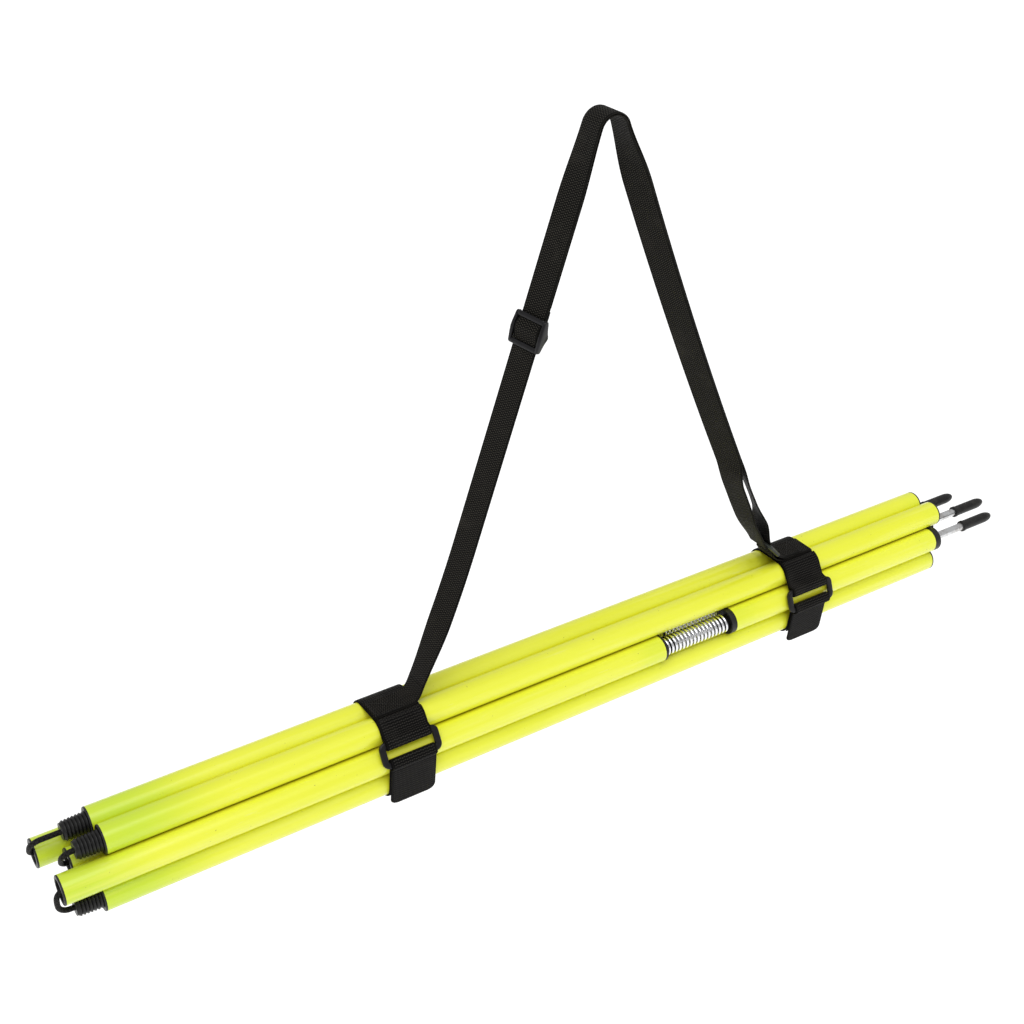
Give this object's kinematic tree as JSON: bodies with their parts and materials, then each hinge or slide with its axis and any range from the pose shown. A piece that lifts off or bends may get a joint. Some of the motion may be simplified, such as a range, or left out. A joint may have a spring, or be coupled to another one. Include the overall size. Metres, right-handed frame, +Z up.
{
  "type": "marker pole carry set",
  "caption": "Two-section sprung marker poles with ground spikes, tethered in pairs and carried in webbing bands under a shoulder strap.",
  "frame": {"origin": "middle of the strap's apex, on the axis of the round bar that the set hangs on", "axes": "+X along the poles towards the ground spikes, +Y to the back, along the hanging bar, +Z up"},
  "size_m": [1.0516, 0.0876, 0.564],
  "materials": {
    "yellow_tube": "satin fluorescent",
    "black_plastic": "moulded",
    "elastic_cord": "braided",
    "spring_steel": "plated",
    "spike_steel": "zinc plated",
    "black_rubber": "matte",
    "black_webbing": "woven",
    "hook_tape": "hook tape",
    "buckle_plastic": "moulded, slight sheen"
  },
  "bodies": {
    "shoulder_strap": {"strap_apex": "black_webbing", "strap_left_leg": "black_webbing", "strap_right_leg": "black_webbing", "strap_inner_left": "black_webbing", "strap_inner_right": "black_webbing", "strap_ring": "buckle_plastic"},
    "slider": {"strap_slider": "buckle_plastic", "slider_loop": "black_webbing"},
    "carrier": {"band_left": "black_webbing", "band_right": "black_webbing", "band_loop_left": "buckle_plastic", "band_loop_right": "buckle_plastic", "hook_pad_left": "hook_tape", "hook_pad_right": "hook_tape", "strap_left_end": "black_webbing", "ring_tab": "black_webbing"},
    "left_tail": {"band_tail_left": "black_webbing"},
    "right_tail": {"band_tail_right": "black_webbing"},
    "pole_1": {"upper_tube_1": "yellow_tube", "upper_end_cap_1": "black_plastic", "ribbed_plug_1": "black_plastic", "tether_cord_1": "elastic_cord", "cord_anchor_1": "black_plastic", "socket_ring_1": "black_plastic", "lower_tube_1": "yellow_tube", "spring_ferrule_up_1": "black_plastic", "ground_spring_1": "spring_steel", "spring_ferrule_low_1": "black_plastic", "ground_tube_1": "yellow_tube", "ground_collar_1": "black_plastic", "spike_1": "spike_steel"},
    "cap_1": {"spike_cap_1": "black_rubber"},
    "pole_2": {"upper_tube_2": "yellow_tube", "upper_end_cap_2": "black_plastic", "ribbed_plug_2": "black_plastic", "tether_cord_2": "elastic_cord", "cord_anchor_2": "black_plastic", "socket_ring_2": "black_plastic", "lower_tube_2": "yellow_tube", "spring_ferrule_up_2": "black_plastic", "ground_spring_2": "spring_steel", "spring_ferrule_low_2": "black_plastic", "ground_tube_2": "yellow_tube", "ground_collar_2": "black_plastic", "spike_2": "spike_steel"},
    "cap_2": {"spike_cap_2": "black_rubber"},
    "pole_3": {"upper_tube_3": "yellow_tube", "upper_end_cap_3": "black_plastic", "ribbed_plug_3": "black_plastic", "tether_cord_3": "elastic_cord", "cord_anchor_3": "black_plastic", "socket_ring_3": "black_plastic", "lower_tube_3": "yellow_tube", "spring_ferrule_up_3": "black_plastic", "ground_spring_3": "spring_steel", "spring_ferrule_low_3": "black_plastic", "ground_tube_3": "yellow_tube", "ground_collar_3": "black_plastic", "spike_3": "spike_steel"},
    "cap_3": {"spike_cap_3": "black_rubber"}
  },
  "joints": [
    {"name": "bundle_swing", "type": "hinge", "parent": "shoulder_strap", "child": "carrier", "pos_m": [0, 0, -0.452], "axis": [1, 0, 0], "range_deg": [-25, 25], "deforming": ["strap_left_end", "ring_tab"]},
    {"name": "slider_travel", "type": "slide", "parent": "shoulder_strap", "child": "slider", "axis": [-0.3328, 0, -0.943], "range_m": [-0.06, 0.18], "deforming": ["strap_inner_left"]},
    {"name": "left_tail_peel", "type": "hinge", "parent": "carrier", "child": "left_tail", "pos_m": [-0.209, -0.03894, -0.50249], "axis": [-1, 0, 0], "range_deg": [0, 100]},
    {"name": "right_tail_peel", "type": "hinge", "parent": "carrier", "child": "right_tail", "pos_m": [0.241, -0.03791, -0.51138], "axis": [-1, 0, 0], "range_deg": [0, 100]},
    {"name": "pole_1_slide", "type": "slide", "parent": "carrier", "child": "pole_1", "axis": [-1, 0, 0], "range_m": [-0.15, 0.75]},
    {"name": "pole_2_slide", "type": "slide", "parent": "carrier", "child": "pole_2", "axis": [-1, 0, 0], "range_m": [-0.15, 0.75]},
    {"name": "pole_3_slide", "type": "slide", "parent": "carrier", "child": "pole_3", "axis": [-1, 0, 0], "range_m": [-0.15, 0.75]},
    {"name": "cap_1_pull", "type": "slide", "parent": "pole_1", "child": "cap_1", "axis": [1, 0, 0], "range_m": [0, 0.06]},
    {"name": "cap_2_pull", "type": "slide", "parent": "pole_2", "child": "cap_2", "axis": [1, 0, 0], "range_m": [0, 0.06]},
    {"name": "cap_3_pull", "type": "slide", "parent": "pole_3", "child": "cap_3", "axis": [1, 0, 0], "range_m": [0, 0.06]}
  ]
}
